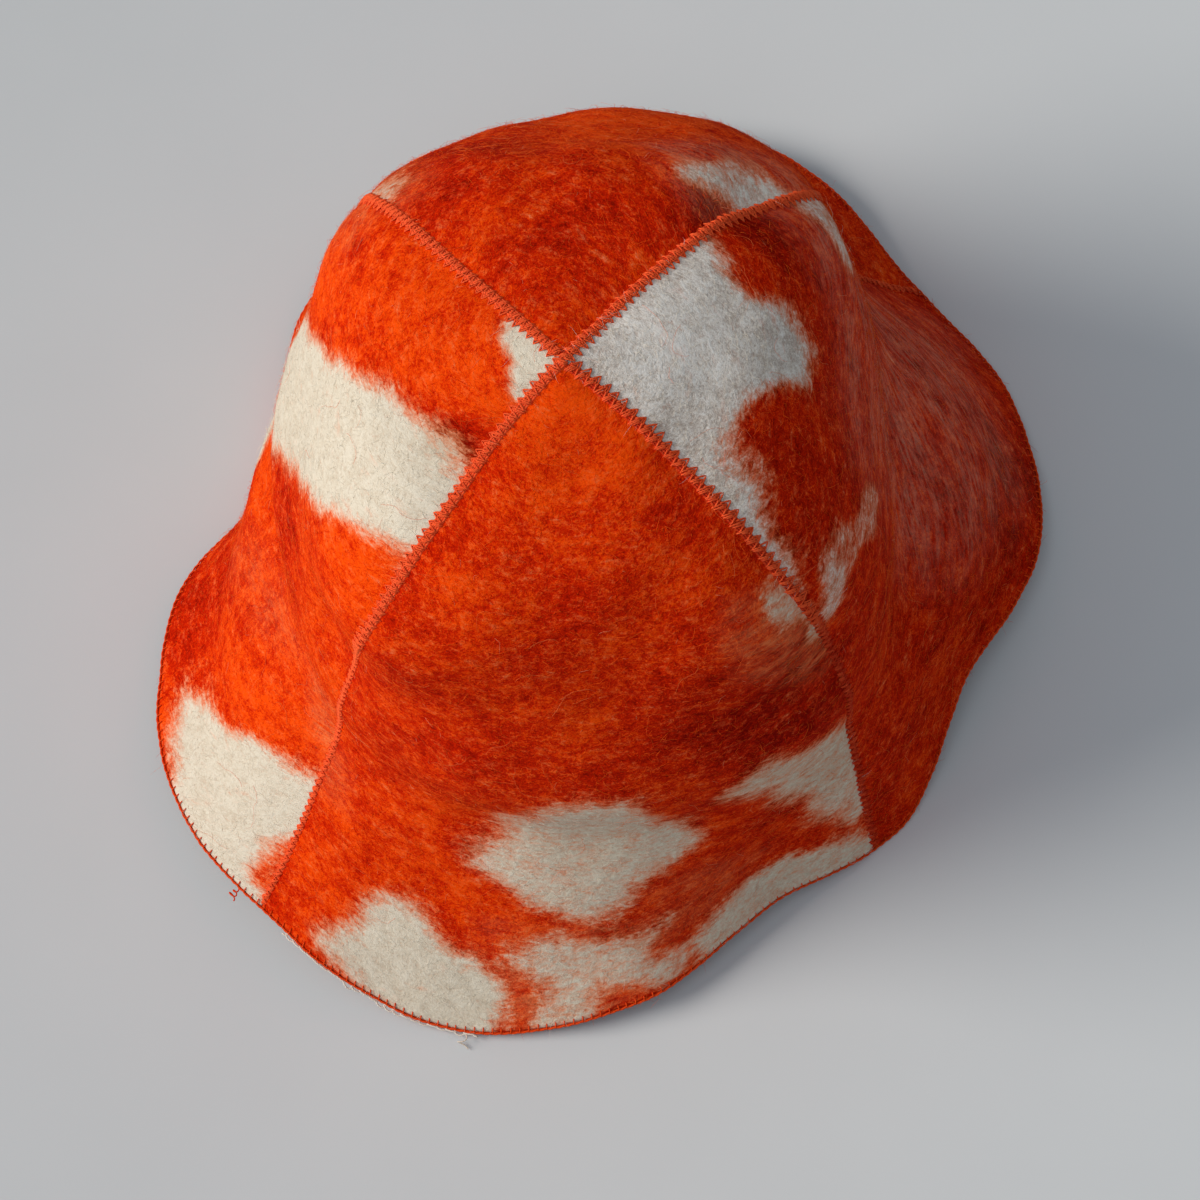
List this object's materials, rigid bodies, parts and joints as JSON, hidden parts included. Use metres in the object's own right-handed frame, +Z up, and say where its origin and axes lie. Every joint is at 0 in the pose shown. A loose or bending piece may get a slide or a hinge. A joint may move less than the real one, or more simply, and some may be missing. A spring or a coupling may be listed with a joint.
{
  "type": "sauna hat",
  "caption": "Bell-shaped felt sauna hat of four gores with a wavy brim, overlocked seams and an overlocked hem, worn on the head to keep off the heat.",
  "frame": {"origin": "on the surface the hat stands on, under the middle of its outline seen from above", "axes": "+Z up through the crown, -Y towards the front panel, +X to the hat's right side as seen from the front panel"},
  "size_m": [0.2904, 0.3092, 0.2045],
  "materials": {
    "felt": "napped wool felt with off-white patches",
    "thread": "matt overlock thread"
  },
  "bodies": {
    "root": {"gore_front": "felt", "gore_right": "felt", "gore_back": "felt", "gore_left": "felt", "seam_back_left": "thread", "seam_front_left": "thread", "seam_front_right": "thread", "seam_back_right": "thread", "hem_front": "thread", "hem_right": "thread", "hem_back": "thread", "hem_left": "thread"}
  },
  "joints": []
}
